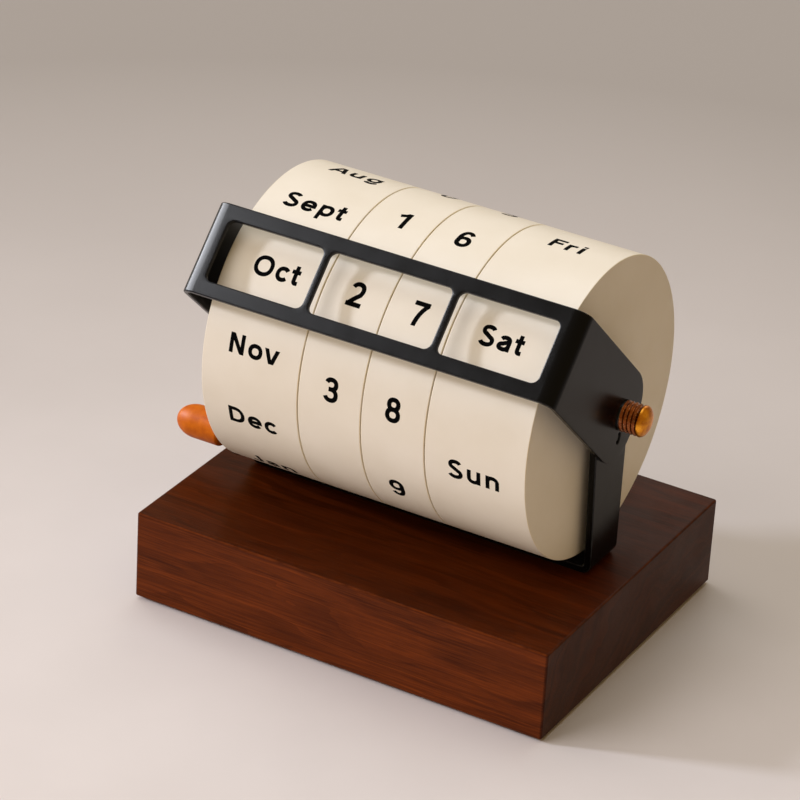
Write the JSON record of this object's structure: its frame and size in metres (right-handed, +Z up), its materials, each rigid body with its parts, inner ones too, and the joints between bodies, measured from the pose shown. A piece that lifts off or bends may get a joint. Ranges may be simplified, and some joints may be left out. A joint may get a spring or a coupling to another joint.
{
  "type": "perpetual desk calendar",
  "caption": "Perpetual desk calendar: lettered rings on one axle over a wooden base, read through a bent window frame.",
  "frame": {"origin": "centre of the felt pad's underside, on the surface that the calendar stands on, midway between the end rings", "axes": "+X along the axle from the month ring to the weekday ring, -Y towards the reader, +Z up"},
  "size_m": [0.1616, 0.1174, 0.1363],
  "materials": {
    "walnut": "satin lacquer over dark stained grain",
    "ivory": "smooth satin, black printed lettering",
    "black_enamel": "satin black enamel",
    "amber_brass": "polished, amber lacquer",
    "brass": "turned, satin",
    "steel": "zinc plated",
    "felt": "pressed felt",
    "nylon": "natural, matt"
  },
  "bodies": {
    "stand": {"base_block": "walnut", "base_pad": "felt", "stand_bracket": "black_enamel", "base_screws": "steel", "axle_rod": "brass", "axle_sleeve": "steel", "window_frame": "black_enamel", "index_pins": "black_enamel", "frame_spacers": "steel", "ring_washers": "brass", "end_washers": "brass", "disc_spring": "steel", "knob_washers": "steel", "lock_insert": "brass"},
    "month": {"month_ring": "ivory", "month_bush": "nylon"},
    "tens": {"tens_ring": "ivory", "tens_bush": "nylon"},
    "ones": {"ones_ring": "ivory", "ones_bush": "nylon"},
    "weekday": {"weekday_ring": "ivory", "weekday_bush": "nylon"},
    "right_knob": {"right_knob": "amber_brass"},
    "left_knob": {"left_knob": "amber_brass"},
    "lock_pad": {"lock_pad": "nylon"},
    "lock_screw": {"lock_stud": "brass", "lock_knob": "amber_brass"}
  },
  "joints": [
    {"name": "month_turn", "type": "hinge", "parent": "stand", "child": "month", "pos_m": [0, 0, 0.0866], "axis": [1, 0, 0], "continuous": true},
    {"name": "tens_turn", "type": "hinge", "parent": "stand", "child": "tens", "pos_m": [0, 0, 0.0866], "axis": [1, 0, 0], "continuous": true},
    {"name": "ones_turn", "type": "hinge", "parent": "stand", "child": "ones", "pos_m": [0, 0, 0.0866], "axis": [1, 0, 0], "continuous": true},
    {"name": "weekday_turn", "type": "hinge", "parent": "stand", "child": "weekday", "pos_m": [0, 0, 0.0866], "axis": [1, 0, 0], "continuous": true},
    {"name": "right_knob_turn", "type": "hinge", "parent": "stand", "child": "right_knob", "pos_m": [0, 0, 0.0866], "axis": [1, 0, 0], "continuous": true},
    {"name": "left_knob_turn", "type": "hinge", "parent": "stand", "child": "left_knob", "pos_m": [0, 0, 0.0866], "axis": [1, 0, 0], "continuous": true},
    {"name": "lock_advance", "type": "slide", "parent": "stand", "child": "lock_pad", "axis": [1, 0, 0], "range_m": [-0.0004, 0.0005]},
    {"name": "lock_turn", "type": "hinge", "parent": "lock_pad", "child": "lock_screw", "pos_m": [-0.0744, -0.017, 0.0455], "axis": [1, 0, 0], "range_deg": [-292, 364]}
  ],
  "couplings": [
    {"joint": "lock_turn", "follows": "lock_advance", "rad_per_m": 12566}
  ]
}
